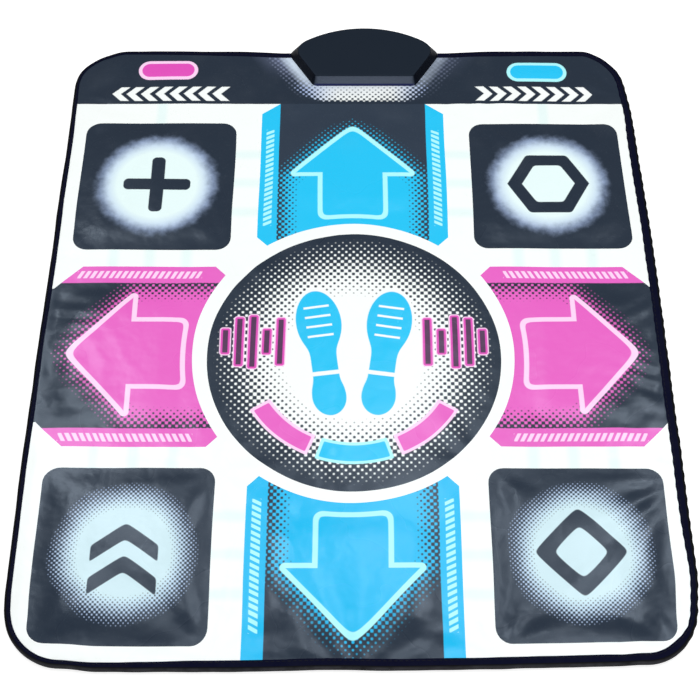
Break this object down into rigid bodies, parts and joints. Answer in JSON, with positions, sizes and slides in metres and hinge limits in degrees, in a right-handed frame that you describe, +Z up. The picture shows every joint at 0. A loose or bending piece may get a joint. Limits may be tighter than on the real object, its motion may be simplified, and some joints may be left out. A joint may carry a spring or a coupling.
{
  "type": "electronic dance mat",
  "caption": "Soft padded dance mat with foot-pressed direction, corner and button pads in a vinyl cover, film contacts inside, and a controller housing clamped to its rear edge.",
  "frame": {"origin": "on the floor plane, the underside of the backing, under the middle of the square play field", "axes": "+Z up from the floor, +Y from the player towards the controller housing at the rear edge, +X to the player's right"},
  "size_m": [0.82, 0.971, 0.026],
  "materials": {
    "cover_print": "printed vinyl sheet with a soft gloss",
    "cyan_print": "printed vinyl sheet with a soft gloss",
    "pink_print": "printed vinyl sheet with a soft gloss",
    "slate_print": "printed vinyl sheet with a soft gloss",
    "binding": "woven edging tape, matt",
    "backing": "dotted non-slip cloth, matt",
    "foam": "closed-cell foam sheet, matt",
    "film": "clear polyester film",
    "ink": "printed conductive ink",
    "carbon": "printed carbon layer, matt",
    "casing": "moulded plastic, fine satin grain",
    "rubber": "moulded rubber, matt",
    "board": "glass-fibre circuit board with solder mask",
    "chip": "moulded chip package, matt",
    "connector": "moulded connector housing",
    "screw_steel": "zinc-plated steel"
  },
  "bodies": {
    "mat": {"anti_slip_backing": "backing", "base_foam": "foam", "spacer_foam": "foam", "lower_film": "film", "upper_film": "film", "lower_circuit": "ink", "cover_sheet": "cover_print", "edge_binding": "binding", "up_spacer": "foam", "down_spacer": "foam", "left_spacer": "foam", "right_spacer": "foam", "rear_left_spacer": "foam", "rear_right_spacer": "foam", "front_left_spacer": "foam", "front_right_spacer": "foam", "button_left_spacer": "foam", "button_right_spacer": "foam", "lower_housing": "casing", "upper_housing": "casing", "cable_gland": "rubber", "circuit_board": "board", "contact_strip": "rubber", "controller_chip": "chip", "cord_connector": "connector", "clamp_bar": "casing", "clamp_screw_left": "screw_steel", "clamp_screw_right": "screw_steel", "housing_screw_front_left": "screw_steel", "housing_screw_front_right": "screw_steel", "housing_screw_rear_left": "screw_steel", "housing_screw_rear_right": "screw_steel"},
    "up_zone": {"up_pad": "cyan_print", "up_contact": "carbon"},
    "down_zone": {"down_pad": "cyan_print", "down_contact": "carbon"},
    "left_zone": {"left_pad": "pink_print", "left_contact": "carbon"},
    "right_zone": {"right_pad": "pink_print", "right_contact": "carbon"},
    "rear_left_zone": {"rear_left_pad": "slate_print", "rear_left_contact": "carbon"},
    "rear_right_zone": {"rear_right_pad": "slate_print", "rear_right_contact": "carbon"},
    "front_left_zone": {"front_left_pad": "slate_print", "front_left_contact": "carbon"},
    "front_right_zone": {"front_right_pad": "slate_print", "front_right_contact": "carbon"},
    "button_left_zone": {"button_left_pad": "pink_print", "button_left_contact": "carbon"},
    "button_right_zone": {"button_right_pad": "cyan_print", "button_right_contact": "carbon"}
  },
  "joints": [
    {"name": "up_press", "type": "slide", "parent": "mat", "child": "up_zone", "axis": [0, 0, 1], "range_m": [-0.002, 0], "stiffness_N_per_m": 8000, "deforming": ["up_spacer"]},
    {"name": "down_press", "type": "slide", "parent": "mat", "child": "down_zone", "axis": [0, 0, 1], "range_m": [-0.002, 0], "stiffness_N_per_m": 8000, "deforming": ["down_spacer"]},
    {"name": "left_press", "type": "slide", "parent": "mat", "child": "left_zone", "axis": [0, 0, 1], "range_m": [-0.002, 0], "stiffness_N_per_m": 8000, "deforming": ["left_spacer"]},
    {"name": "right_press", "type": "slide", "parent": "mat", "child": "right_zone", "axis": [0, 0, 1], "range_m": [-0.002, 0], "stiffness_N_per_m": 8000, "deforming": ["right_spacer"]},
    {"name": "rear_left_press", "type": "slide", "parent": "mat", "child": "rear_left_zone", "axis": [0, 0, 1], "range_m": [-0.002, 0], "stiffness_N_per_m": 8000, "deforming": ["rear_left_spacer"]},
    {"name": "rear_right_press", "type": "slide", "parent": "mat", "child": "rear_right_zone", "axis": [0, 0, 1], "range_m": [-0.002, 0], "stiffness_N_per_m": 8000, "deforming": ["rear_right_spacer"]},
    {"name": "front_left_press", "type": "slide", "parent": "mat", "child": "front_left_zone", "axis": [0, 0, 1], "range_m": [-0.002, 0], "stiffness_N_per_m": 8000, "deforming": ["front_left_spacer"]},
    {"name": "front_right_press", "type": "slide", "parent": "mat", "child": "front_right_zone", "axis": [0, 0, 1], "range_m": [-0.002, 0], "stiffness_N_per_m": 8000, "deforming": ["front_right_spacer"]},
    {"name": "button_left_press", "type": "slide", "parent": "mat", "child": "button_left_zone", "axis": [0, 0, 1], "range_m": [-0.002, 0], "stiffness_N_per_m": 2000, "deforming": ["button_left_spacer"]},
    {"name": "button_right_press", "type": "slide", "parent": "mat", "child": "button_right_zone", "axis": [0, 0, 1], "range_m": [-0.002, 0], "stiffness_N_per_m": 2000, "deforming": ["button_right_spacer"]}
  ]
}
